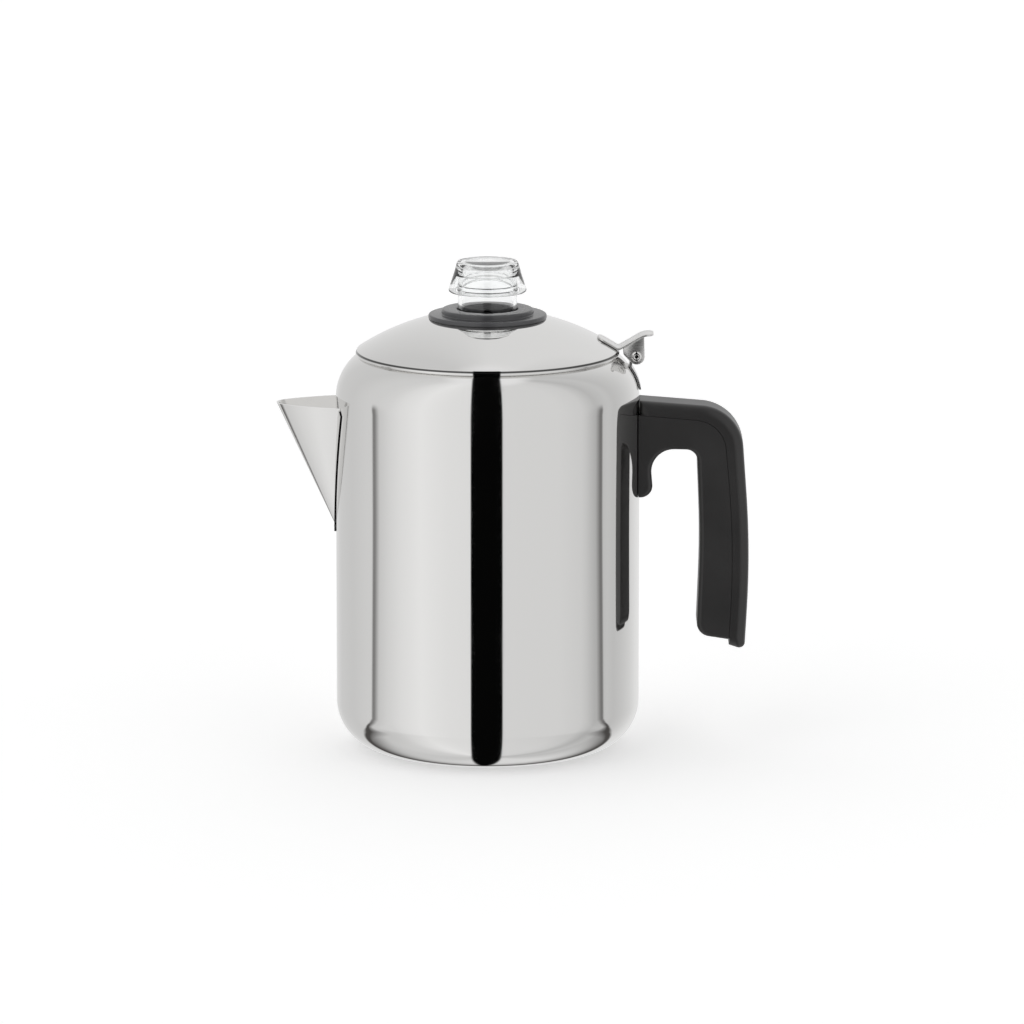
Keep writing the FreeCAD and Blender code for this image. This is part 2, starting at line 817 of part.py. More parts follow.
def make_percolator_knob():
    body = new_body("percolator_knob")
    skirt_z = f"({COLLAR_TOP} + skirt_above)"
    corners = [
        ("0", NECK_Z),
        ("neck_r", NECK_Z),
        ("neck_r", f"{skirt_z} + skirt_tall"),
        ("skirt_r - skirt_wall", skirt_z),
        ("skirt_r", skirt_z),
        ("neck_r + 0.3", f"{KNOB_TOP} - 1.5"),
        ("neck_r - 0.9", KNOB_TOP),
        ("0", KNOB_TOP),
    ]
    revolve(body, corners, {4: ("skirt_arc", -1), 5: ("knob_edge", 1)})
    lugs = new_sketch(body, "XY_Plane", NECK_Z)
    along = "((neck_r + lug_out) * {way})"
    across = "(lug_wide / 2 * {side})"
    x = f"{along} * sin(lug_turn) - {across} * cos(lug_turn)"
    y = f"{along} * cos(lug_turn) + {across} * sin(lug_turn)"
    signs = ((-1, -1), (1, -1), (1, 1), (-1, 1))
    corners = [(x.format(way=w, side=s), y.format(way=w, side=s)) for w, s in signs]
    draw_outline(lugs, corners)
    pad(body, lugs, "lug_tall")
    bore = new_sketch(body, "XY_Plane", NECK_Z)
    draw_circle(bore, "0", "0", "neck_r - neck_wall")
    pocket(body, bore, f"{KNOB_TOP} - knob_cap - {NECK_Z}", upward=True)


# ---------------------------------------------------------------- pump

FLARE_Z = f"({CROWN_Z} - bell_wall - weld_gap)"


def make_pump_tube():
    body = new_body("pump_tube")
    inner_r = "tube_r - tube_wall"
    top = f"{NECK_Z} + tube_in_neck"
    corners = [
        (inner_r, f"{FLARE_Z} - tube_wall"),
        ("tube_r + 1.6", f"{FLARE_Z} - tube_wall"),
        ("tube_r + 1.6", FLARE_Z),
        ("tube_r", FLARE_Z),
        ("tube_r", top),
        (inner_r, top),
    ]
    revolve(body, corners)


def make_pump_base():
    body = new_body("pump_base")
    corners = [
        ("bell_r - bell_wall", FLOOR),
        ("bell_r", FLOOR),
        ("bell_r", f"{FLOOR} + bell_lip"),
        ("bell_crown", CROWN_Z),
        ("tube_r + weld_gap", CROWN_Z),
        ("tube_r + weld_gap", f"{CROWN_Z} - bell_wall"),
        ("bell_crown", f"{CROWN_Z} - bell_wall"),
        ("bell_r - bell_wall", f"{FLOOR} + bell_lip - bell_wall / 3"),
    ]
    revolve(body, corners, {2: ("bell_arc", 1), 6: ("bell_arc - bell_wall", -1)})
    notch = new_sketch(body, "XZ_Plane")
    draw_circle(notch, "0", FLOOR, "1.6")
    cut = pocket(body, notch, "bell_r + 1")
    polar_pattern(body, cut, 4)


def make_valve_cage():
    body = new_body("valve_cage")
    top = FLARE_Z
    foot = f"({top} - cage_tall)"
    inner_r = "cage_r - cage_wall"
    hole_r = "cage_r - 4"
    corners = [
        (hole_r, foot),
        ("cage_r", foot),
        ("cage_r", top),
        (inner_r, top),
        (inner_r, f"{foot} + cage_wall"),
        (hole_r, f"{foot} + cage_wall"),
    ]
    revolve(body, corners)
    window = new_sketch(body, "XZ_Plane")
    draw_outline(
        window,
        [
            ("-2.5", f"{foot} + 1.6"),
            ("2.5", f"{foot} + 1.6"),
            ("2.5", f"{top} - 1"),
            ("-2.5", f"{top} - 1"),
        ],
    )
    cut = pocket(body, window)
    polar_pattern(body, cut, 2, 90)


def make_valve_disc():
    disc = doc.addObject("Part::Cylinder", "valve_disc")
    disc.Label = "valve_disc"
    disc.setExpression("Radius", bound("cage_r - cage_wall - disc_gap"))
    disc.setExpression("Height", bound("disc_thick"))
    disc_z = f"{FLARE_Z} - cage_tall + cage_wall + loose"
    disc.setExpression("Placement.Base.z", bound(disc_z))
    nodes.append(disc)


def make_basket_stop():
    body = new_body("basket_stop")
    bore = "tube_r + weld_gap"
    rim = f"{bore} + stop_wide"
    corners = [
        (bore, f"{STOP_TOP} - stop_tall"),
        (rim, f"{STOP_TOP} - stop_tall / 2"),
        (rim, STOP_TOP),
        (bore, STOP_TOP),
    ]
    revolve(body, corners)


# ---------------------------------------------------------------- basket

def punch_holes(body, rows, count):
    """Rows of small holes along rays from the axis, patterned round it."""
    for number, radii in enumerate(rows):
        turn = number * math.pi / count
        row = new_sketch(body, "XY_Plane")
        for radius in radii:
            x = radius * math.cos(turn)
            y = radius * math.sin(turn)
            draw_circle(row, f"{x:g}", f"{y:g}", "hole_r")
        cut = pocket(body, row)
        polar_pattern(body, cut, count)


def hole_rows(inner, outer, step):
    """Radii of two staggered rows of holes between two circles."""
    count = int((outer - inner) / step) + 1
    even = [inner + step * number for number in range(count)]
    odd = [radius + step / 2 for radius in even[:-1] if radius > 1.5 * inner]
    return even, odd


def make_coffee_basket():
    body = new_body("coffee_basket")
    hole = f"({SLEEVE_R} + weld_gap)"
    corners = [
        (hole, BASKET_FLOOR),
        (f"{BASKET_R} - basket_corner", BASKET_FLOOR),
        (BASKET_R, f"{BASKET_FLOOR} + basket_corner"),
        (BASKET_R, BASKET_TOP),
        (f"{BASKET_R} - basket_wall", BASKET_TOP),
        (f"{BASKET_R} - basket_wall", f"{BASKET_FLOOR} + basket_corner"),
        (f"{BASKET_R} - basket_corner", f"{BASKET_FLOOR} + basket_wall"),
        (hole, f"{BASKET_FLOOR} + basket_wall"),
    ]
    arcs = {1: ("basket_corner", 1), 5: ("basket_corner - basket_wall", -1)}
    revolve(body, corners, arcs)
    revolve_bead(body, f"{BASKET_R} + basket_bead / 2", BASKET_TOP, "basket_bead")
    rows = hole_rows(value(f"{SLEEVE_R} + 5"), value(f"{BASKET_R} - basket_corner - 2"), 6.0)
    punch_holes(body, rows, 18)


def make_basket_sleeve():
    body = new_body("basket_sleeve")
    inner_r = "tube_r + loose"
    foot_z = f"({BASKET_FLOOR} + basket_wall + weld_gap)"
    corners = [
        (inner_r, BASKET_FLOOR),
        (SLEEVE_R, BASKET_FLOOR),
        (SLEEVE_R, foot_z),
        (f"{SLEEVE_R} + sleeve_foot", foot_z),
        (f"{SLEEVE_R} + sleeve_foot", f"{foot_z} + sleeve_wall"),
        (SLEEVE_R, f"{foot_z} + sleeve_wall"),
        (SLEEVE_R, f"{BASKET_FLOOR} + sleeve_tall"),
        (inner_r, f"{BASKET_FLOOR} + sleeve_tall"),
    ]
    revolve(body, corners)


SPREADER_SEAT = f"({BASKET_TOP} + basket_bead + loose)"
SPREADER_FIELD = f"({SPREADER_SEAT} - spreader_deep)"
HUB_R = "(tube_r + hub_gap)"
PLATE_R = f"({HUB_R} + hub_wide + weld_gap)"


def make_basket_spreader():
    body = new_body("basket_spreader")
    step_r = f"({BASKET_R} - basket_wall - loose - 0.1)"
    corners = [
        (PLATE_R, SPREADER_FIELD),
        (step_r, SPREADER_FIELD),
        (step_r, SPREADER_SEAT),
        (f"{BASKET_R} + basket_bead", SPREADER_SEAT),
        (f"{BASKET_R} + basket_bead", f"{SPREADER_SEAT} + basket_wall"),
        (f"{step_r} - basket_wall", f"{SPREADER_SEAT} + basket_wall"),
        (f"{step_r} - basket_wall", f"{SPREADER_FIELD} + basket_wall"),
        (PLATE_R, f"{SPREADER_FIELD} + basket_wall"),
    ]
    revolve(body, corners)
    rows = hole_rows(value(f"{PLATE_R} + 3"), value(f"{step_r} - 4"), 6.0)
    punch_holes(body, rows, 18)


def make_spreader_hub():
    body = new_body("spreader_hub")
    rim = f"{HUB_R} + hub_wide"
    top = f"{SPREADER_FIELD} + hub_tall"
    revolve(body, [(HUB_R, SPREADER_FIELD), (rim, SPREADER_FIELD), (rim, top), (HUB_R, top)])


make_pot_shell()
make_spout()
make_handle_bracket()
make_handle_grip()
make_handle_backstrap()
make_handle_screw()
make_hinge_bracket()
make_hinge_pin()
make_lid_hinge_leaf()
make_lid_dome()
make_lid_plug_ring()
make_knob_collar()
make_collar_nut()
make_percolator_knob()
make_pump_tube()
make_pump_base()
make_valve_cage()
make_valve_disc()
make_basket_stop()
make_coffee_basket()
make_basket_sleeve()
make_basket_spreader()
make_spreader_hub()

doc.recompute()
for item in doc.Objects:
    if "Invalid" in item.State or "Error" in item.State:
        raise RuntimeError(f"{item.Label} did not build")
os.makedirs("parts", exist_ok=True)
for node in nodes:
    if node.Shape.isNull() or not node.Shape.isValid():
        raise RuntimeError(f"{node.Label} has no valid shape")
    node.Shape.exportStep(f"parts/{node.Label}.step")
    print(node.Label, len(node.Shape.Solids), round(node.Shape.Volume))
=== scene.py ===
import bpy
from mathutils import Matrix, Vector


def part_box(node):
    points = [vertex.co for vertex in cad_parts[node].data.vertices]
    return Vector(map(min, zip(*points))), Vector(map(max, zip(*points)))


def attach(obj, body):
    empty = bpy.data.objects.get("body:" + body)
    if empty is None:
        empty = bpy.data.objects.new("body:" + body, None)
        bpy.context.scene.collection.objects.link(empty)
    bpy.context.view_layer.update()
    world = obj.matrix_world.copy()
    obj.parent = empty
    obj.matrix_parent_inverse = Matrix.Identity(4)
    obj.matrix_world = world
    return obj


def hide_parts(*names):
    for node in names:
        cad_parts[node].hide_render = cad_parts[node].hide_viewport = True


bl_info = {
    "name": "Stovetop percolator looks",
    "version": (1, 0, 0),
    "blender": (4, 5, 0),
    "location": "View3D > Sidebar > Percolator",
    "description": "Finishes and detailed pieces of a polished stovetop coffee percolator",
    "category": "Object",
}

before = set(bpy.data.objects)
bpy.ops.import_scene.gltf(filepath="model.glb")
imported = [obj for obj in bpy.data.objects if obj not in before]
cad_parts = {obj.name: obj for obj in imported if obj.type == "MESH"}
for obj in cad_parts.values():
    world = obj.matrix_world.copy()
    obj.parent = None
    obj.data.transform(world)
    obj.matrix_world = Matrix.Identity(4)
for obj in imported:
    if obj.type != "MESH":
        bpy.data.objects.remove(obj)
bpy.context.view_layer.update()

import math

import bmesh
import bpy
from bpy.props import FloatProperty, FloatVectorProperty, IntProperty, PointerProperty
from mathutils import Matrix, Vector

POT_LOW, POT_HIGH = (Vector(corner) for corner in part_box("pot_shell"))
LID_LOW, LID_HIGH = (Vector(corner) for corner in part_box("lid_dome"))
COLLAR_LOW, COLLAR_HIGH = (Vector(corner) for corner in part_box("knob_collar"))
KNOB_LOW, KNOB_HIGH = (Vector(corner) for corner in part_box("percolator_knob"))
LEAF_LOW, LEAF_HIGH = (Vector(corner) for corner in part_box("lid_hinge_leaf"))
PIN_LOW, PIN_HIGH = (Vector(corner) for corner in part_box("hinge_pin"))
SPOUT_HIGH = Vector(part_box("spout")[1])
BAND_HIGH = Vector(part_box("handle_backstrap")[1])
CLEARANCE = 0.00005  # left between a piece and the sheet that it sits on


def length(name, text, default):
    """A size in metres that the user may change."""
    return FloatProperty(name=name, description=text, default=default, unit="LENGTH", precision=5)


class PotSizes(bpy.types.PropertyGroup):
    wall: length("Wall", "Sheet thickness of the pot", 0.0008)
    base_corner: length("Base corner", "Outer radius between base and wall", 0.0205)
    shoulder: length("Shoulder", "Outer radius of the shoulder", 0.023)
    wall_top: length("Wall top", "Height where the straight wall ends", 0.1542)
    mouth: length("Mouth", "Inner radius of the rolled mouth", 0.0518)
    bead: length("Bead", "Radius of the rolled mouth's edge", 0.0013)
    pour_below: length("Opening's top", "Depth of the pouring opening below the rim", 0.005)
    pour_tall: length("Opening's height", "Height of the pouring opening", 0.041)
    pour_half: length("Opening's half width", "Half the pouring opening's width", 0.013)
    pour_root: length("Opening's foot", "Half the width at the opening's foot", 0.0015)
    pour_corner: length("Opening's corners", "Radius of the opening's upper corners", 0.003)
    steps: IntProperty(name="Steps", description="Facets round the pot", default=240, min=24)


class LidSizes(bpy.types.PropertyGroup):
    wall: length("Wall", "Sheet thickness of the lid", 0.0007)
    dome: length("Dome", "Outer radius of the lid's dome", 0.104)
    hem: length("Hem", "Height of the turned-down hem", 0.0018)
    hole: length("Hole", "Radius of the hole for the collar", 0.0158)


class KnobSizes(bpy.types.PropertyGroup):
    wall: length("Wall", "Thickness of the knob's neck", 0.0015)
    cap: length("Cap", "Thickness of the knob's top", 0.0016)
    neck: length("Neck", "Outer radius of the knob's neck", 0.01285)
    skirt_low: length("Skirt edge", "Height of the skirt's lower edge above the collar", 0.0074)
    skirt_tall: length("Skirt hollow", "Depth of the hollow under the skirt", 0.0082)
    rings: IntProperty(name="Rings", description="Fine rings under the skirt", default=2, min=0)


class CollarSizes(bpy.types.PropertyGroup):
    bore: length("Bore", "Radius of the bore for the knob's neck", 0.0133)
    tail: length("Tail", "Thickness of the tail through the lid", 0.0023)
    step: length("Step", "Height of the upper step", 0.0022)
    step_rim: length("Step's rim", "Outer radius of the upper step", 0.020)
    soft: length("Softness", "Radius of the moulded edges", 0.0009)
    slot: length("Slot", "Width of the bayonet slots", 0.0046)
    slot_reach: length("Slot reach", "How far from the axis the slots end", 0.01455)


class HingeSizes(bpy.types.PropertyGroup):
    sheet: length("Sheet", "Thickness of the leaf", 0.0009)
    ease: length("Eased edge", "Width of the softened edges", 0.00025)
    ear: length("Ear", "Radius of the ears about the pin", 0.0035)
    ear_long: length("Ear's length", "How far the ears reach back from the pin", 0.0057)
    pin: length("Pin", "Radius of the pin", 0.0013)
    rivet: length("Rivet", "Radius of the rivet's head", 0.0023)
    bend_in: length("Bend", "How far inside the lid's rim the leaf bends up", 0.0004)
    lever_up: length("Lever", "Height of the lever above the pin", 0.0092)
    tip_round: length("Tip", "Radius of the lever's corners", 0.003)


class SeamSizes(bpy.types.PropertyGroup):
    out: length("Out", "From the pot's wall to the seam", 0.0406)
    tall: length("Height", "From the handle's top to the seam's low end", 0.1048)
    thick: length("Thickness", "Thickness of the bonding line", 0.0005)
    inset: length("Inset", "How far the line lies below the handle's sides", 0.0006)
    turn: length("Turn", "Radius of the seam's turn", 0.014)
    sweep: length("Sweep", "Radius of the seam's long bend", 0.4)


class FinishColours(bpy.types.PropertyGroup):
    steel: FloatVectorProperty(
        name="Steel", description="Mirror-polished stainless steel", subtype="COLOR",
        size=3, default=(0.79, 0.785, 0.775), min=0.0, max=1.0,
    )
    phenolic: FloatVectorProperty(
        name="Phenolic", description="Black moulded handle", subtype="COLOR",
        size=3, default=(0.022, 0.021, 0.021), min=0.0, max=1.0,
    )
    collar: FloatVectorProperty(
        name="Collar", description="Dark collar under the knob", subtype="COLOR",
        size=3, default=(0.075, 0.075, 0.079), min=0.0, max=1.0,
    )


# ------------------------------------------------------------------ node helpers

def new_group(name, inputs, outputs):
    """An empty shader node group with named sockets: (name, type, default)."""
    group = bpy.data.node_groups.new(name, "ShaderNodeTree")
    for in_out, sockets in (("INPUT", inputs), ("OUTPUT", outputs)):
        for socket_name, kind, default in sockets:
            socket = group.interface.new_socket(socket_name, in_out=in_out, socket_type=kind)
            if default is not None:
                socket.default_value = default
    start = group.nodes.new("NodeGroupInput")
    end = group.nodes.new("NodeGroupOutput")
    return group, start, end


def math_node(tree, operation, *values):
    """A Math node whose inputs are numbers or sockets. Returns its output."""
    node = tree.nodes.new("ShaderNodeMath")
    node.operation = operation
    for index, value in enumerate(values):
        if isinstance(value, (int, float)):
            node.inputs[index].default_value = value
        else:
            tree.links.new(value, node.inputs[index])
    return node.outputs[0]


def noise(tree, vector, scale, detail):
    """Cloudy pattern between 0 and 1. The scale is a number or a socket."""
    node = tree.nodes.new("ShaderNodeTexNoise")
    node.inputs["Detail"].default_value = detail
    if isinstance(scale, (int, float)):
        node.inputs["Scale"].default_value = scale
    else:
        tree.links.new(scale, node.inputs["Scale"])
    tree.links.new(vector, node.inputs["Vector"])
    return node.outputs["Fac"]


def spread(tree, value, low, high):
    """Maps 0..1 to low..high, each a number or a socket."""
    node = tree.nodes.new("ShaderNodeMapRange")
    tree.links.new(value, node.inputs["Value"])
    for name, end in (("To Min", low), ("To Max", high)):
        if isinstance(end, (int, float)):
            node.inputs[name].default_value = end
        else:
            tree.links.new(end, node.inputs[name])
    return node.outputs["Result"]


FLOAT = "NodeSocketFloat"
VECTOR = "NodeSocketVector"
COLOUR = "NodeSocketColor"
SHEET_WAVE = 0.0004
GRAIN_HEIGHT = 0.00005
# painted shade on the lid: a dark line painted into the steel's colour round the fold above the
# hem (its height, darkest half width, fade-out distance and brightness)
FOLD_ABOVE_HEM = 0.00165
FOLD_SHADE_CORE = 0.0003
FOLD_SHADE_FADE = 0.0005
FOLD_BRIGHTNESS = 0.12


def polish_group():
    """Handled polish: a soft change of gloss, hairline rubbing and the sheet's faint waviness."""
    group, start, end = new_group(
        "Handled polish",
        [
            ("Vector", VECTOR, None),
            ("Least roughness", FLOAT, 0.03),
            ("Most roughness", FLOAT, 0.08),
            ("Hairline stretch", FLOAT, 30.0),
        ],
        [("Roughness", FLOAT, None), ("Height", FLOAT, None)],
    )
    cloud = noise(group, start.outputs["Vector"], 28.0, 3.0)
    stretch = group.nodes.new("ShaderNodeVectorMath")
    stretch.operation = "MULTIPLY"
    group.links.new(start.outputs["Vector"], stretch.inputs[0])
    combine = group.nodes.new("ShaderNodeCombineXYZ")
    combine.inputs["X"].default_value = 1.0
    combine.inputs["Y"].default_value = 1.0
    group.links.new(start.outputs["Hairline stretch"], combine.inputs["Z"])
    group.links.new(combine.outputs[0], stretch.inputs[1])
    hairline = noise(group, stretch.outputs[0], 60.0, 5.0)
    mixed = math_node(group, "MULTIPLY", cloud, hairline)
    doubled = math_node(group, "MULTIPLY", mixed, 2.4)
    rough = spread(
        group, doubled, start.outputs["Least roughness"], start.outputs["Most roughness"]
    )
    wave = noise(group, start.outputs["Vector"], 9.0, 1.0)
    group.links.new(rough, end.inputs["Roughness"])
    group.links.new(wave, end.inputs["Height"])
    return group


def moulding_group():
    """Moulded phenolic: fine grain, a slow change of gloss and faint flow marks."""
    group, start, end = new_group(
        "Moulding grain",
        [
            ("Vector", VECTOR, None),
            ("Colour", COLOUR, (0.02, 0.02, 0.02, 1.0)),
            ("Grain scale", FLOAT, 1400.0),
            ("Least roughness", FLOAT, 0.3),
            ("Most roughness", FLOAT, 0.45),
        ],
        [("Colour", COLOUR, None), ("Roughness", FLOAT, None), ("Height", FLOAT, None)],
    )
    grain = noise(group, start.outputs["Vector"], start.outputs["Grain scale"], 2.0)
    cloud = noise(group, start.outputs["Vector"], 45.0, 4.0)
    rough = spread(
        group, cloud, start.outputs["Least roughness"], start.outputs["Most roughness"]
    )
    shade = spread(group, cloud, 0.8, 1.3)
    tint = group.nodes.new("ShaderNodeVectorMath")
    tint.operation = "SCALE"
    group.links.new(start.outputs["Colour"], tint.inputs[0])
    group.links.new(shade, tint.inputs["Scale"])
    group.links.new(tint.outputs[0], end.inputs["Colour"])
    group.links.new(rough, end.inputs["Roughness"])
    group.links.new(grain, end.inputs["Height"])
    return group


def new_material(name):
    """A material with its tree, its shader and the piece's own coordinates."""
    material = bpy.data.materials.new(name)
    material.use_nodes = True
    tree = material.node_tree
    shader = next(node for node in tree.nodes if node.type == "BSDF_PRINCIPLED")
    place = tree.nodes.new("ShaderNodeTexCoord")
    return material, tree, shader, place.outputs["Object"]


def bump(tree, shader, height, strength, distance):
    """Turns a height into the shader's normal."""
    node = tree.nodes.new("ShaderNodeBump")
    node.inputs["Strength"].default_value = strength
    node.inputs["Distance"].default_value = distance
    tree.links.new(height, node.inputs["Height"])
    tree.links.new(node.outputs["Normal"], shader.inputs["Normal"])


def steel_material(name, group, colour, least, most, stretch, strength):
    """Steel of one finish: its least and most roughness, hairline stretch and waviness."""
    material, tree, shader, place = new_material(name)
    shader.inputs["Base Color"].default_value = (*colour, 1.0)
    shader.inputs["Metallic"].default_value = 1.0
    node = tree.nodes.new("ShaderNodeGroup")
    node.node_tree = group
    node.inputs["Least roughness"].default_value = least
    node.inputs["Most roughness"].default_value = most
    node.inputs["Hairline stretch"].default_value = stretch
    tree.links.new(place, node.inputs["Vector"])
    tree.links.new(node.outputs["Roughness"], shader.inputs["Roughness"])
    bump(tree, shader, node.outputs["Height"], strength, SHEET_WAVE)
    return material


def lid_material(name, group, colour):
    """Mirror steel with a painted shade line in the fold where the dome meets its rolled hem."""
    material = steel_material(name, group, colour, 0.02, 0.06, 30.0, 0.02)
    tree = material.node_tree
    shader = next(node for node in tree.nodes if node.type == "BSDF_PRINCIPLED")
    place = tree.nodes.new("ShaderNodeTexCoord")
    axes = tree.nodes.new("ShaderNodeSeparateXYZ")
    tree.links.new(place.outputs["Object"], axes.inputs[0])
    # painted shade: the steel's colour is darkened in a thin band round the fold's height
    fold_z = LID_LOW.z + FOLD_ABOVE_HEM
    above = math_node(tree, "SUBTRACT", axes.outputs["Z"], fold_z)
    away = math_node(tree, "ABSOLUTE", above)
    fold_shade = tree.nodes.new("ShaderNodeMapRange")
    fold_shade.inputs["From Min"].default_value = FOLD_SHADE_CORE
    fold_shade.inputs["From Max"].default_value = FOLD_SHADE_FADE
    fold_shade.inputs["To Min"].default_value = FOLD_BRIGHTNESS
    tree.links.new(away, fold_shade.inputs["Value"])
    tint = tree.nodes.new("ShaderNodeVectorMath")
    tint.operation = "SCALE"
    tint.inputs[0].default_value = colour
    tree.links.new(fold_shade.outputs["Result"], tint.inputs["Scale"])
    tree.links.new(tint.outputs[0], shader.inputs["Base Color"])
    return material


def moulded_material(name, group, colour, grain, least, most, strength):
    """Moulded phenolic: its grain's scale, least and most roughness and grain's strength."""
    material, tree, shader, place = new_material(name)
    node = tree.nodes.new("ShaderNodeGroup")
    node.node_tree = group
    node.inputs["Colour"].default_value = (*colour, 1.0)
    node.inputs["Grain scale"].default_value = grain
    node.inputs["Least roughness"].default_value = least
    node.inputs["Most roughness"].default_value = most
    tree.links.new(place, node.inputs["Vector"])
    tree.links.new(node.outputs["Colour"], shader.inputs["Base Color"])
    tree.links.new(node.outputs["Roughness"], shader.inputs["Roughness"])
    bump(tree, shader, node.outputs["Height"], strength, GRAIN_HEIGHT)
    return material


def clear_material(name):
    """Clear moulded plastic with a faint haze in its gloss."""
    material, tree, shader, place = new_material(name)
    shader.inputs["Base Color"].default_value = (0.985, 0.99, 0.99, 1.0)
    shader.inputs["Transmission Weight"].default_value = 1.0
    shader.inputs["IOR"].default_value = 1.49
    cloud = noise(tree, place, 60.0, 3.0)
    tree.links.new(spread(tree, cloud, 0.0, 0.03), shader.inputs["Roughness"])
    return material


MATERIALS = {}


def make_materials(colours):
    polish = polish_group()
    moulding = moulding_group()
    steel = tuple(colours.steel)
    plain = tuple(0.86 * part for part in colours.steel)
    MATERIALS.update(
        mirror=steel_material("Mirror steel", polish, steel, 0.02, 0.06, 30.0, 0.02),
        lid=lid_material("Lid steel", polish, steel),
        sheet=steel_material("Bright sheet steel", polish, steel, 0.06, 0.14, 60.0, 0.03),
        satin=steel_material("Satin sheet steel", polish, steel, 0.22, 0.34, 60.0, 0.03),
        plain=steel_material("Plain steel", polish, plain, 0.18, 0.32, 8.0, 0.05),
        inner=steel_material("Drawn inner steel", polish, plain, 0.2, 0.34, 90.0, 0.05),
        handle=moulded_material(
            "Black phenolic", moulding, tuple(colours.phenolic), 1500.0, 0.32, 0.46, 0.25
        ),
        band=moulded_material(
            "Black phenolic band", moulding, tuple(colours.phenolic), 1500.0, 0.28, 0.42, 0.2
        ),
        collar=moulded_material(
            "Dark collar phenolic", moulding, tuple(colours.collar), 1900.0, 0.20, 0.32, 0.3
        ),
        clear=clear_material("Clear knob plastic"),
    )


# ------------------------------------------------------------------ mesh helpers

def arc(centre_rho, centre_z, radius, start, stop, count):
    """Points (rho, z) of an arc between two angles in degrees, both ends included."""
    points = []
    for step in range(count + 1):
        angle = math.radians(start + (stop - start) * step / count)
        points.append((centre_rho + radius * math.cos(angle), centre_z + radius * math.sin(angle)))
    return points


def circle_height(rho, radius, centre_z):
    """Height of a circle's upper side at a distance from the axis."""
    return centre_z + math.sqrt(radius * radius - rho * rho)


def dome_centre(lid):
    """Height of the centre of the lid's dome, whose rim lies on top of the hem."""
    return LID_LOW.z + lid.hem - math.sqrt(lid.dome**2 - LID_HIGH.x**2)


def spun(profile, steps, closed=True):
    """A bmesh turned once round the Z axis from points (rho, z)."""
    bm = bmesh.new()
    verts = [bm.verts.new((rho, 0.0, z)) for rho, z in profile]
    edges = [bm.edges.new(pair) for pair in zip(verts, verts[1:])]
    if closed:
        edges.append(bm.edges.new((verts[-1], verts[0])))
    bmesh.ops.spin(
        bm, geom=verts + edges, cent=(0, 0, 0), axis=(0, 0, 1), dvec=(0, 0, 0),
        angle=math.tau, steps=steps, use_merge=True, use_duplicate=False,
    )
    bmesh.ops.remove_doubles(bm, verts=bm.verts, dist=1e-7)
    bmesh.ops.dissolve_degenerate(bm, dist=1e-8, edges=bm.edges)
    bmesh.ops.recalc_face_normals(bm, faces=bm.faces)
    return bm


def finish_piece(bm, name, material, body, nodes, sharp=35.0):
    """Turns a bmesh into a shown piece that rides on a body and stands for CAD nodes."""
    mesh = bpy.data.meshes.new(name)
    bm.to_mesh(mesh)
    bm.free()
    mesh.shade_smooth()
    mesh.set_sharp_from_angle(angle=math.radians(sharp))
    piece = bpy.data.objects.new(name, mesh)
    bpy.context.scene.collection.objects.link(piece)
    mesh.materials.append(MATERIALS[material])
    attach(piece, body)
    if nodes:
        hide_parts(*nodes)
    return piece


def cut_away(bm, cutter):
    """Takes one bmesh's space out of another. Returns the result as a new bmesh."""
    pair = []
    for name, source in (("cut_target", bm), ("cut_tool", cutter)):
        mesh = bpy.data.meshes.new(name)
        source.to_mesh(mesh)
        source.free()
        item = bpy.data.objects.new(name, mesh)
        bpy.context.scene.collection.objects.link(item)
        pair.append(item)
    target, tool = pair
    boolean = target.modifiers.new("cut", "BOOLEAN")
    boolean.operation = "DIFFERENCE"
    boolean.solver = "EXACT"
    boolean.object = tool
    bpy.context.view_layer.update()
    result = bpy.data.meshes.new_from_object(
        target.evaluated_get(bpy.context.evaluated_depsgraph_get())
    )
    cut = bmesh.new()
    cut.from_mesh(result)
    bpy.data.meshes.remove(result)
    for item in pair:
        mesh = item.data
        bpy.data.objects.remove(item)
        bpy.data.meshes.remove(mesh)
    return cut


def prism(corners, start, stop, axis):
    """A closed prism over an outline: along Y from (x, z) corners, or along X from (y, z)."""
    bm = bmesh.new()
    if axis == "Y":
        verts = [bm.verts.new((x, start, z)) for x, z in corners]
        step = (0.0, stop - start, 0.0)
    else:
        verts = [bm.verts.new((start, y, z)) for y, z in corners]
        step = (stop - start, 0.0, 0.0)
    face = bm.faces.new(verts)
    grown = bmesh.ops.extrude_face_region(bm, geom=[face])
    moved = [item for item in grown["geom"] if isinstance(item, bmesh.types.BMVert)]
    bmesh.ops.translate(bm, verts=moved, vec=step)
    bmesh.ops.recalc_face_normals(bm, faces=bm.faces)
    return bm


def join(*parts):
    """One bmesh with the pieces of several."""
    whole = bmesh.new()
    for part in parts:
        mesh = bpy.data.meshes.new("part")
        part.to_mesh(mesh)
        part.free()
        whole.from_mesh(mesh)
        bpy.data.meshes.remove(mesh)
    return whole


def ribbon(stations, thick, edge):
    """A bent strip of sheet with eased edges. stations: (x, z) of the underside and half width."""
    bm = bmesh.new()
    rims = []
    for number, (x, z, half) in enumerate(stations):
        last = stations[max(number - 1, 0)]
        following = stations[min(number + 1, len(stations) - 1)]
        way = Vector((following[0] - last[0], following[1] - last[1])).normalized()
        up = Vector((-way.y, way.x))
        quarter = [(0.0, 1.0), (0.3, 0.3), (1.0, 0.0)]
        ring = [(-half + edge * a, edge * b) for a, b in quarter]
        ring += [(half - edge * a, edge * b) for a, b in reversed(quarter)]
        ring += [(y, thick - rise) for y, rise in reversed(ring)]
        verts = [bm.verts.new((x + up.x * rise, y, z + up.y * rise)) for y, rise in ring]
        rims.append([bm.edges.new(pair) for pair in zip(verts, verts[1:] + verts[:1])])
    for first, second in zip(rims, rims[1:]):
        bmesh.ops.bridge_loops(bm, edges=first + second)
    for rim in (rims[0], rims[-1]):
        bmesh.ops.contextual_create(bm, geom=rim)
    bmesh.ops.recalc_face_normals(bm, faces=bm.faces)
    return bm


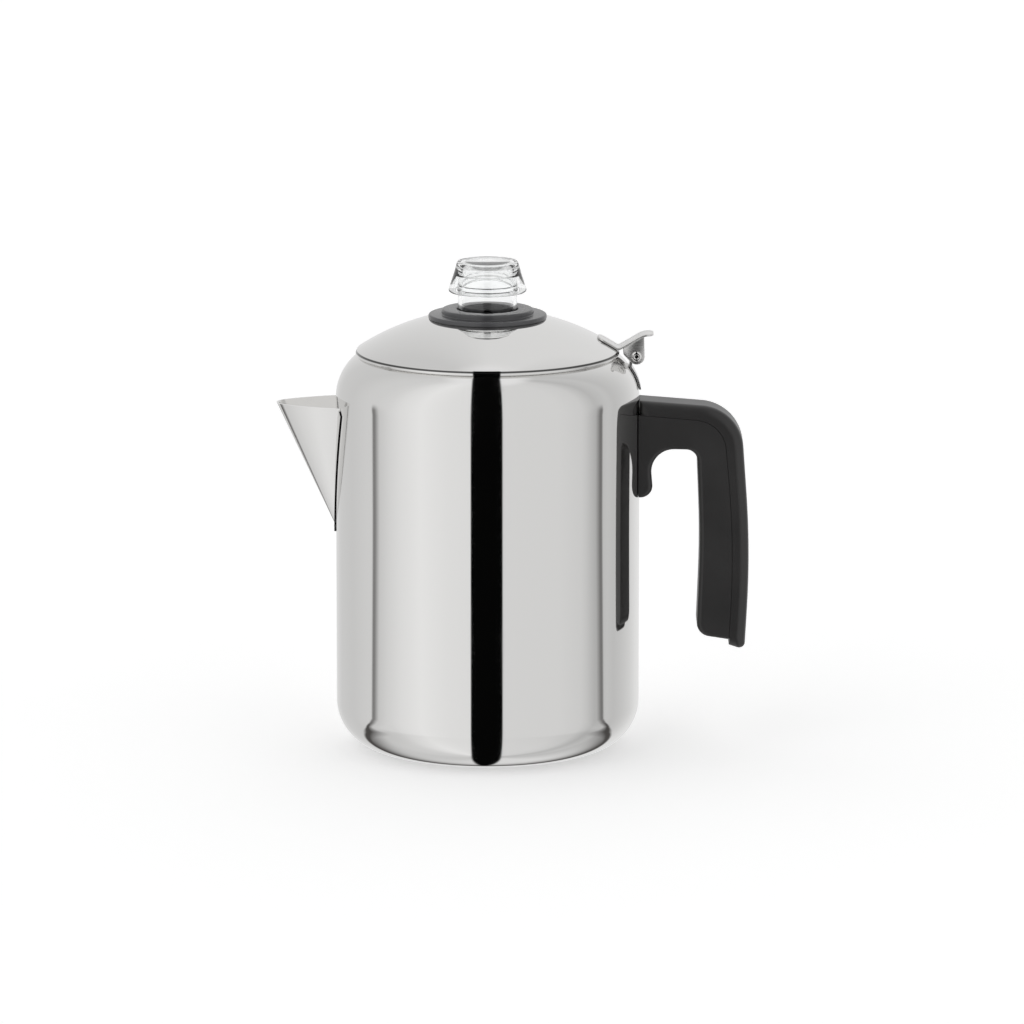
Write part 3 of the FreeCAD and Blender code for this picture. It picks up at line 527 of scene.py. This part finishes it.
def rounded_line(corners, steps):
    """Points of a line whose corners (x, z, radius) are rounded."""
    places = [Vector((x, z)) for x, z, radius in corners]
    line = [places[0]]
    for number in range(1, len(places) - 1):
        corner = places[number]
        back = (places[number - 1] - corner).normalized()
        onward = (places[number + 1] - corner).normalized()
        half = back.angle(onward) / 2
        radius = corners[number][2]
        start = back * (radius / math.tan(half))
        stop = onward * (radius / math.tan(half))
        centre = (back + onward).normalized() * (radius / math.sin(half))
        for step in range(steps + 1):
            spoke = (start - centre).slerp(stop - centre, step / steps)
            line.append(corner + centre + spoke * radius)
    return line + [places[-1]]


def bevel_all(bm, width, segments, least_angle=30.0):
    """Rounds the edges that turn by more than an angle."""
    edges = [
        edge for edge in bm.edges
        if len(edge.link_faces) == 2
        and edge.calc_face_angle(0.0) > math.radians(least_angle)
    ]
    bmesh.ops.bevel(
        bm, geom=edges, offset=width, segments=segments, profile=0.5,
        affect="EDGES", material=-1, clamp_overlap=True,
    )


# ------------------------------------------------------------------ pieces

class PERCOLATOR_OT_finishes(bpy.types.Operator):
    """Makes the materials and gives every CAD node its own"""
    bl_idname = "percolator.finishes"
    bl_label = "Finishes"

    def execute(self, context):
        make_materials(context.scene.percolator_colours)
        finish_of = {
            "pot_shell": "mirror", "spout": "sheet", "handle_bracket": "plain",
            "handle_grip": "handle", "handle_backstrap": "band", "handle_screw": "plain",
            "hinge_bracket": "satin", "hinge_pin": "plain", "lid_hinge_leaf": "satin",
            "lid_dome": "mirror", "lid_plug_ring": "sheet", "knob_collar": "collar",
            "collar_nut": "plain", "percolator_knob": "clear",
        }
        for name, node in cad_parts.items():
            finish = MATERIALS[finish_of.get(name, "inner")]
            node.data.materials.clear()
            node.data.materials.append(finish)
        return {"FINISHED"}


class PERCOLATOR_OT_pot(bpy.types.Operator):
    """Spins the drawn pot with its shoulder, rolled mouth and pouring opening"""
    bl_idname = "percolator.pot"
    bl_label = "Pot"

    def execute(self, context):
        sizes = context.scene.percolator_pot
        radius = POT_HIGH.x
        wall = sizes.wall
        corner = sizes.base_corner
        shoulder_rho = radius - sizes.shoulder
        bead_rho = sizes.mouth + sizes.bead
        bead_z = POT_HIGH.z - sizes.bead
        stop = math.degrees(math.acos((bead_rho - shoulder_rho) / sizes.shoulder))
        inner = sizes.shoulder - wall
        inner_stop = math.degrees(math.acos((bead_rho - shoulder_rho) / inner))
        # the middle of the base is raised a little, so that the pot stands on a ring
        foot = radius - corner
        raised = 0.0006
        profile = [(0.0, raised), (foot - 0.0105, raised), (foot - 0.009, 0.0)]
        profile += [(foot - 0.002, 0.0)]
        profile += arc(foot, corner, corner, -90, 0, 28)
        profile += arc(shoulder_rho, sizes.wall_top, sizes.shoulder, 0, stop - 2, 28)
        profile += arc(bead_rho, bead_z, sizes.bead, -20, 230, 14)
        profile += arc(shoulder_rho, sizes.wall_top, inner, inner_stop - 1, 0, 20)
        profile += arc(foot, corner, corner - wall, 0, -90, 20)
        profile += [(0.0, wall)]
        drawn = spun(profile, sizes.steps, closed=False)
        # the opening behind the spout: a triangle on its point with rounded upper corners
        top = SPOUT_HIGH.z - sizes.pour_below
        round_off = sizes.pour_corner
        half = sizes.pour_half
        right = [(sizes.pour_root, top - sizes.pour_tall)]
        right += [(half - round_off / 3, top - round_off)]
        right += arc(half - round_off * 4 / 3, top - round_off, round_off, 20, 90, 6)
        outline = right + [(-y, z) for y, z in reversed(right)]
        opening = prism(outline, -radius * 1.1, -radius * 0.6, "X")
        bm = cut_away(drawn, opening)
        finish_piece(bm, "pot_body", "mirror", "pot", ["pot_shell"])
        return {"FINISHED"}


class PERCOLATOR_OT_lid(bpy.types.Operator):
    """Spins the domed lid with its rolled hem"""
    bl_idname = "percolator.lid"
    bl_label = "Lid"

    def execute(self, context):
        sizes = context.scene.percolator_lid
        rim = LID_HIGH.x
        wall = sizes.wall
        hem_low = LID_LOW.z
        rim_z = hem_low + sizes.hem
        centre = dome_centre(sizes)
        fold = 0.0006
        inner = sizes.dome - wall
        dome_stop = math.degrees(math.asin((rim - fold) / sizes.dome))
        dome_start = math.degrees(math.asin(sizes.hole / sizes.dome))
        bead = sizes.hem / 2 - 0.0001
        profile = arc(0.0, centre, sizes.dome, 90 - dome_start, 90 - dome_stop, 48)
        profile += [(rim - fold * 0.6, rim_z - fold * 0.7)]
        profile += arc(rim - bead, hem_low + bead, bead, 60, -120, 18)
        inner_stop = math.degrees(math.asin((rim - wall - fold) / inner))
        inner_start = math.degrees(math.asin(sizes.hole / inner))
        profile += [(rim - 2 * bead, hem_low + bead), (rim - 2 * bead, rim_z - fold)]
        profile += arc(0.0, centre, inner, 90 - inner_stop, 90 - inner_start, 40)
        bm = spun(profile, context.scene.percolator_pot.steps)
        finish_piece(bm, "lid_cover", "lid", "lid", ["lid_dome"])
        return {"FINISHED"}


class PERCOLATOR_OT_knob(bpy.types.Operator):
    """Spins the clear knob with its flared skirt, the fine rings under it and its hollow neck"""
    bl_idname = "percolator.knob"
    bl_label = "Knob"

    def execute(self, context):
        sizes = context.scene.percolator_knob
        low, top = KNOB_LOW.z, KNOB_HIGH.z
        neck = sizes.neck
        skirt = KNOB_HIGH.x
        skirt_z = COLLAR_HIGH.z + sizes.skirt_low
        bore = neck - sizes.wall
        lug = neck + 0.0014
        profile = [(bore, low), (lug - 0.0002, low), (lug, low + 0.0003)]
        profile += [(lug, low + 0.0017), (neck, low + 0.002)]
        ring, ring_step = 0.0003, 0.0018
        for number in range(sizes.rings):
            ring_z = skirt_z + 0.001 + number * ring_step
            profile += arc(neck, ring_z, ring, -90, 90, 4)
        hollow = skirt_z + sizes.skirt_tall
        profile += [(neck, hollow - 0.001), (neck + 0.0005, hollow - 0.0002)]
        profile += [(neck + 0.0011, hollow - 0.0008), (skirt - 0.0022, skirt_z + 0.0012)]
        profile += [(skirt - 0.0017, skirt_z + 0.0002)]
        lip, edge = 0.0009, 0.0013
        profile += arc(skirt - lip, skirt_z + lip, lip, -90, 10, 6)
        profile += [(skirt - 0.0006, skirt_z + 0.0028), (skirt - 0.0024, skirt_z + 0.0085)]
        profile += arc(neck - 0.0007, top - edge, edge, 12, 90, 6)
        ceiling = top - sizes.cap
        soft = 0.0015
        profile += [(0.0, top), (0.0, ceiling), (bore - soft, ceiling), (bore, ceiling - soft)]
        bm = spun(profile, 192)
        finish_piece(
            bm, "knob_clear", "clear", "knob", ["percolator_knob"], sharp=28.0
        )
        return {"FINISHED"}


class PERCOLATOR_OT_collar(bpy.types.Operator):
    """Spins the stepped collar with soft edges and cuts its two bayonet slots"""
    bl_idname = "percolator.collar"
    bl_label = "Collar"

    def execute(self, context):
        sizes = context.scene.percolator_collar
        lid = context.scene.percolator_lid
        centre = dome_centre(lid)
        seat = lid.dome + CLEARANCE
        rim = COLLAR_HIGH.x
        top = COLLAR_HIGH.z
        step = top - sizes.step
        soft = sizes.soft
        tail = sizes.bore + sizes.tail
        start = math.degrees(math.asin(tail / seat))
        stop = math.degrees(math.asin((rim - soft * 0.4) / seat))
        profile = [(sizes.bore, COLLAR_LOW.z), (tail, COLLAR_LOW.z)]
        profile += arc(0.0, centre, seat, 90 - start, 90 - stop, 6)
        low = circle_height(rim, seat, centre)
        profile += [(rim, low + soft * 0.5)]
        profile += arc(rim - soft, step - soft, soft, 0, 90, 8)
        profile += arc(sizes.step_rim + soft / 2, step + soft / 2, soft / 2, -90, -180, 5)
        profile += arc(sizes.step_rim - soft, top - soft, soft, 0, 90, 8)
        profile += arc(sizes.bore + soft / 2, top - soft / 2, soft / 2, 90, 180, 5)
        ring = spun(profile, 192)
        half = sizes.slot / 2
        reach = sizes.slot_reach
        slot = prism([(-half, -0.1), (half, -0.1), (half, 0.1), (-half, 0.1)], -reach, reach, "Y")
        bmesh.ops.translate(slot, verts=slot.verts, vec=(0.0, 0.0, top))
        bm = cut_away(ring, slot)
        finish_piece(bm, "knob_ring", "collar", "lid", ["knob_collar"])
        return {"FINISHED"}


class PERCOLATOR_OT_hinge(bpy.types.Operator):
    """Bends the hinge leaf with its thumb lever and ears, and spins the rivet"""
    bl_idname = "percolator.hinge"
    bl_label = "Hinge"

    def execute(self, context):
        sizes = context.scene.percolator_hinge
        lid = context.scene.percolator_lid
        centre = dome_centre(lid)
        seat = lid.dome + CLEARANCE
        pin = (PIN_LOW + PIN_HIGH) / 2
        half = LEAF_HIGH.y
        sheet = sizes.sheet
        lever = pin.z + sizes.lever_up
        bend = LID_HIGH.x - sizes.bend_in
        bend_length = 0.0012
        first_x, last_x = LEAF_LOW.x + 0.0004, bend - bend_length
        line = []
        for number in range(13):
            x = first_x + (last_x - first_x) * number / 12
            line.append(Vector((x, circle_height(x, seat, centre))))
        turn = Vector((bend, circle_height(bend, seat, centre) + 0.00015))
        tip = Vector((LEAF_HIGH.x - 0.0001, lever - 0.0004))
        shoulder = Vector((pin.x + sizes.ear + 0.0002, lever - 0.0001))
        before = line[-1]
        after = turn + (shoulder - turn).normalized() * bend_length
        for share in (0.1, 0.3, 0.5, 0.7, 0.9):
            line.append(curve_point(before, turn, after, share))
        for share in (0.15, 0.35, 0.55, 0.7):
            line.append(turn.lerp(shoulder, share))
        for number in range(9):
            line.append(curve_point(turn.lerp(shoulder, 0.8), shoulder, tip, number / 8))
        stations = []
        for point in line:
            near = min((point - line[0]).length, (point - line[-1]).length)
            room = max(sizes.tip_round - near, 0.0)
            side = half - sizes.tip_round + math.sqrt(sizes.tip_round**2 - room**2)
            stations.append((point.x, point.y, side))
        parts = [ribbon(stations, sheet, sizes.ease)]
        # an ear's outline: its back, the underside of the lever and the round about the pin
        corners = [
            (pin.x - sizes.ear_long, pin.z + 0.0009),
            (pin.x - sizes.ear_long - 0.0002, lever - 0.0058),
            (pin.x + sizes.ear - 0.0002, lever - 0.0003),
        ]
        corners += arc(pin.x, pin.z, sizes.ear, 0, -135, 20)
        for start, stop in ((-half, -half + sheet), (half - sheet, half)):
            ear = prism(corners, start, stop, "Y")
            bevel_all(ear, sizes.ease, 3)
            parts.append(ear)
        finish_piece(
            join(*parts), "hinge_leaf_bent", "satin", "lid",
            ["lid_hinge_leaf"], sharp=50.0,
        )
        # a rivet's head, dished in the middle, in shares of its radius and height
        head = [(0.0, 0.45), (0.3, 0.5), (0.42, 0.9), (0.5, 1.0), (0.72, 0.98), (0.9, 0.75)]
        head += [(0.985, 0.4), (1.0, 0.1), (0.98, 0.0), (0.5, 0.0), (0.0, 0.0)]
        seat_y = half + CLEARANCE
        tall = PIN_HIGH.y - seat_y
        outline = [(rho * sizes.rivet, up * tall) for rho, up in head]
        heads = []
        for way, angle in ((-1, 90), (1, -90)):
            turned = Matrix.Rotation(math.radians(angle), 4, "X")
            heads.append(spun(outline, 48, closed=False))
            heads[-1].transform(Matrix.Translation(pin + Vector((0, way * seat_y, 0))) @ turned)
        shaft = spun(
            [(0.0, -half), (sizes.pin, -half), (sizes.pin, half), (0.0, half)], 32, closed=False
        )
        shaft.transform(Matrix.Translation(pin) @ Matrix.Rotation(math.radians(90), 4, "X"))
        finish_piece(
            join(shaft, *heads), "hinge_rivet", "sheet", "lid", ["hinge_pin"]
        )
        return {"FINISHED"}


def curve_point(first, middle, last, share):
    """Point of the curve from first to last that is pulled towards middle."""
    return first.lerp(middle, share).lerp(middle.lerp(last, share), share)


class PERCOLATOR_OT_seam(bpy.types.Operator):
    """Lays the bonding line in the seam between the handle's two mouldings"""
    bl_idname = "percolator.seam"
    bl_label = "Handle seam"

    def execute(self, context):
        sizes = context.scene.percolator_seam
        wall = POT_HIGH.x
        top = BAND_HIGH.z
        inside = sizes.thick / 2 + 0.0001  # from the outer moulding to the line's inner face
        seam = wall + sizes.out - inside
        first = top - 0.0059 - inside
        corners = [
            (wall + 0.0005, first - 0.0001, 0.0),
            (seam - 0.004, first - 0.0034, sizes.turn),
            (seam + 0.0008, top - 0.064, sizes.sweep),
            (seam - 0.0014, top - sizes.tall, 0.0),
        ]
        line = rounded_line(corners, 16)
        half = BAND_HIGH.y - sizes.inset
        strip = ribbon([(point.x, point.y, half) for point in line], sizes.thick, 0.00005)
        finish_piece(strip, "handle_seam", "handle", "pot", [])
        return {"FINISHED"}


class PERCOLATOR_OT_stage(bpy.types.Operator):
    """Adds the floor, the studio's light and the camera"""
    bl_idname = "percolator.stage"
    bl_label = "Stage"

    def execute(self, context):
        make_floor()
        make_world()
        make_camera()
        context.scene.view_settings.view_transform = "Standard"
        return {"FINISHED"}


def make_floor():
    """Wide pale floor. It leaves no trace in the mirror finish, which shows the studio instead."""
    bm = bmesh.new()
    bmesh.ops.create_circle(bm, cap_ends=True, radius=30.0, segments=64)
    mesh = bpy.data.meshes.new("floor")
    bm.to_mesh(mesh)
    bm.free()
    floor = bpy.data.objects.new("floor", mesh)
    bpy.context.scene.collection.objects.link(floor)
    floor.location.z = POT_LOW.z - 0.0002
    floor.visible_glossy = False
    material, tree, shader, place = new_material("Pale floor")
    shader.inputs["Base Color"].default_value = (0.93, 0.93, 0.93, 1.0)
    shader.inputs["Roughness"].default_value = 0.9
    shader.inputs["Emission Color"].default_value = (1.0, 1.0, 1.0, 1.0)
    shader.inputs["Emission Strength"].default_value = 0.36
    mesh.materials.append(material)


def fade(tree, value, start, stop):
    """Smooth step of a socket: 0 at start, 1 at stop."""
    node = tree.nodes.new("ShaderNodeMapRange")
    node.interpolation_type = "SMOOTHSTEP"
    node.inputs["From Min"].default_value = start
    node.inputs["From Max"].default_value = stop
    tree.links.new(value, node.inputs["Value"])
    return node.outputs["Result"]


def ramp(tree, value, reach, stops):
    """Brightness against a socket's value, from stops (value, brightness) within -reach..reach."""
    node = tree.nodes.new("ShaderNodeMapRange")
    node.inputs["From Min"].default_value = -reach
    node.inputs["From Max"].default_value = reach
    tree.links.new(value, node.inputs["Value"])
    colours = tree.nodes.new("ShaderNodeValToRGB")
    elements = colours.color_ramp.elements
    while len(elements) < len(stops):
        elements.new(1.0)
    for element, (at, bright) in zip(elements, stops):
        element.position = (at / reach + 1) / 2
        element.color = (bright, bright, bright, 1.0)
    tree.links.new(node.outputs["Result"], colours.inputs["Fac"])
    return colours.outputs["Color"]


def blend(tree, share, first, second):
    """Mixes two colours, each a socket or a value, by a mask."""
    node = tree.nodes.new("ShaderNodeMix")
    node.data_type = "RGBA"
    tree.links.new(share, node.inputs["Factor"])
    for socket, colour in ((node.inputs[6], first), (node.inputs[7], second)):
        if isinstance(colour, tuple):
            socket.default_value = colour
        else:
            tree.links.new(colour, socket)
    return node.outputs[2]


# the studio: brightness of the panels against the compass angle in degrees, 0 in front
PANELS = (
    (-180, 0.83), (-150, 0.70), (-125, 0.69), (-104, 0.75), (-92, 0.76), (-80, 0.80),
    (-70, 0.88), (-52, 0.97), (-30, 0.90), (-14, 0.88), (14, 0.80), (56, 0.79), (76, 0.74),
    (90, 0.58), (96, 0.62), (104, 0.66), (112, 0.62), (125, 0.68), (152, 0.84), (180, 0.83),
)
# darkness of the side edges against the distance past their sharp side
EDGES = (
    (-1.0, 0.0), (-0.315, 0.0), (-0.145, 0.13), (-0.06, 0.95), (-0.03, 0.95), (0.0, 0.0),
    (1.0, 0.0),
)
# half of how far back the edges' sharp side lies, against the height
LEAN = (
    (-1.0, 0.65), (-0.62, 0.52), (-0.56, 0.37), (-0.53, 0.30), (-0.45, 0.21), (-0.33, 0.13),
    (-0.19, 0.0725), (1.0, 0.0725),
)
GAP_REACH = 0.78
OVERHEAD = (0.93, 0.93, 0.935, 1.0)
EDGE_DARK = (0.05, 0.045, 0.042, 1.0)
GAP_DARK = (0.002, 0.002, 0.002, 1.0)


def make_world():
    """White studio with a narrow dark gap in front and dark edges at the sides."""
    world = bpy.data.worlds.new("Studio")
    bpy.context.scene.world = world
    world.use_nodes = True
    tree = world.node_tree
    tree.nodes.clear()
    place = tree.nodes.new("ShaderNodeTexCoord")
    axes = tree.nodes.new("ShaderNodeSeparateXYZ")
    tree.links.new(place.outputs["Generated"], axes.inputs[0])
    x, y, z = axes.outputs
    turn = math_node(tree, "ARCTAN2", x, math_node(tree, "MULTIPLY", y, -1.0))
    degrees = math_node(tree, "MULTIPLY", turn, 180 / math.pi)
    panels = ramp(tree, degrees, 180, PANELS)
    over = fade(tree, z, 0.93, 0.985)
    light = blend(tree, over, panels, OVERHEAD)
    # the side edges lean back and soften as they go down, so they flare at the round pot's foot
    low = fade(tree, z, -0.42, -0.62)
    level = math_node(tree, "MULTIPLY_ADD", fade(tree, z, -0.25, -0.45), 0.24, 0.76)
    level = math_node(tree, "MULTIPLY", level, fade(tree, z, 0.12, -0.08))
    level = math_node(tree, "MULTIPLY", level, fade(tree, z, -0.92, -0.62))
    edge = math_node(tree, "MULTIPLY", ramp(tree, z, 1, LEAN), 2.0)
    soft = math_node(tree, "MULTIPLY_ADD", low, 5.0, 1.0)
    past = math_node(tree, "DIVIDE", math_node(tree, "SUBTRACT", y, edge), soft)
    edges = math_node(tree, "MULTIPLY", ramp(tree, past, 1, EDGES), level)
    light = blend(tree, edges, light, EDGE_DARK)
    # the gap's half width falls off towards the back so that it looks straight in the round pot
    half = math_node(tree, "MULTIPLY_ADD", y, -0.104, 0.108)
    # and it ends in a round
    share = math_node(tree, "MULTIPLY", math_node(tree, "MAXIMUM", y, 0.0), 1 / GAP_REACH)
    narrow = math_node(tree, "SUBTRACT", 1.0, math_node(tree, "MULTIPLY", share, share))
    end = math_node(tree, "SQRT", math_node(tree, "MAXIMUM", narrow, 0.0))
    half = math_node(tree, "MULTIPLY", half, end)
    aside = math_node(tree, "ABSOLUTE", math_node(tree, "ADD", x, 0.01))
    inside = fade(tree, math_node(tree, "SUBTRACT", half, aside), -0.004, 0.012)
    above = fade(tree, z, 0.0, 0.05)
    reach = math_node(tree, "MULTIPLY_ADD", above, -0.66, GAP_REACH)
    short = fade(tree, math_node(tree, "SUBTRACT", reach, y), 0.0, 0.05)
    gap = math_node(tree, "MULTIPLY", inside, short)
    light = blend(tree, gap, light, GAP_DARK)
    background = tree.nodes.new("ShaderNodeBackground")
    output = tree.nodes.new("ShaderNodeOutputWorld")
    tree.links.new(light, background.inputs["Color"])
    tree.links.new(background.outputs[0], output.inputs["Surface"])


ELEVATION = math.radians(10.9)
DISTANCE = 3.6
TARGET = Vector((0.0106, 0.0, 0.1032))
LENS = 290.5


def make_camera():
    """Long lens from the front, a little above."""
    data = bpy.data.cameras.new("camera")
    camera = bpy.data.objects.new("camera", data)
    bpy.context.scene.collection.objects.link(camera)
    away = Vector((0.0, -math.cos(ELEVATION), math.sin(ELEVATION)))
    camera.location = TARGET + away * DISTANCE
    camera.rotation_euler = (-away).to_track_quat("-Z", "Y").to_euler()
    data.sensor_width = 36.0
    data.lens = LENS
    data.clip_end = 100.0
    bpy.context.scene.camera = camera


class PERCOLATOR_PT_panel(bpy.types.Panel):
    """Lists the pieces in the sidebar"""
    bl_idname = "PERCOLATOR_PT_panel"
    bl_label = "Percolator"
    bl_space_type = "VIEW_3D"
    bl_region_type = "UI"
    bl_category = "Percolator"

    def draw(self, context):
        for operator in OPERATORS:
            self.layout.operator(operator.bl_idname)


GROUPS = (PotSizes, LidSizes, KnobSizes, CollarSizes, HingeSizes, SeamSizes, FinishColours)
OPERATORS = (
    PERCOLATOR_OT_finishes,
    PERCOLATOR_OT_pot,
    PERCOLATOR_OT_lid,
    PERCOLATOR_OT_knob,
    PERCOLATOR_OT_collar,
    PERCOLATOR_OT_hinge,
    PERCOLATOR_OT_seam,
    PERCOLATOR_OT_stage,
)
SETTINGS = {
    "percolator_pot": PotSizes,
    "percolator_lid": LidSizes,
    "percolator_knob": KnobSizes,
    "percolator_collar": CollarSizes,
    "percolator_hinge": HingeSizes,
    "percolator_seam": SeamSizes,
    "percolator_colours": FinishColours,
}


def register():
    for item in GROUPS + OPERATORS + (PERCOLATOR_PT_panel,):
        bpy.utils.register_class(item)
    for name, group in SETTINGS.items():
        setattr(bpy.types.Scene, name, PointerProperty(type=group))


def unregister():
    for name in SETTINGS:
        delattr(bpy.types.Scene, name)
    for item in reversed(GROUPS + OPERATORS + (PERCOLATOR_PT_panel,)):
        bpy.utils.unregister_class(item)


def main():
    """Makes every piece in order."""
    register()
    bpy.ops.percolator.finishes()
    bpy.ops.percolator.pot()
    bpy.ops.percolator.lid()
    bpy.ops.percolator.knob()
    bpy.ops.percolator.collar()
    bpy.ops.percolator.hinge()
    bpy.ops.percolator.seam()
    bpy.ops.percolator.stage()


if __name__ == "__main__":
    main()
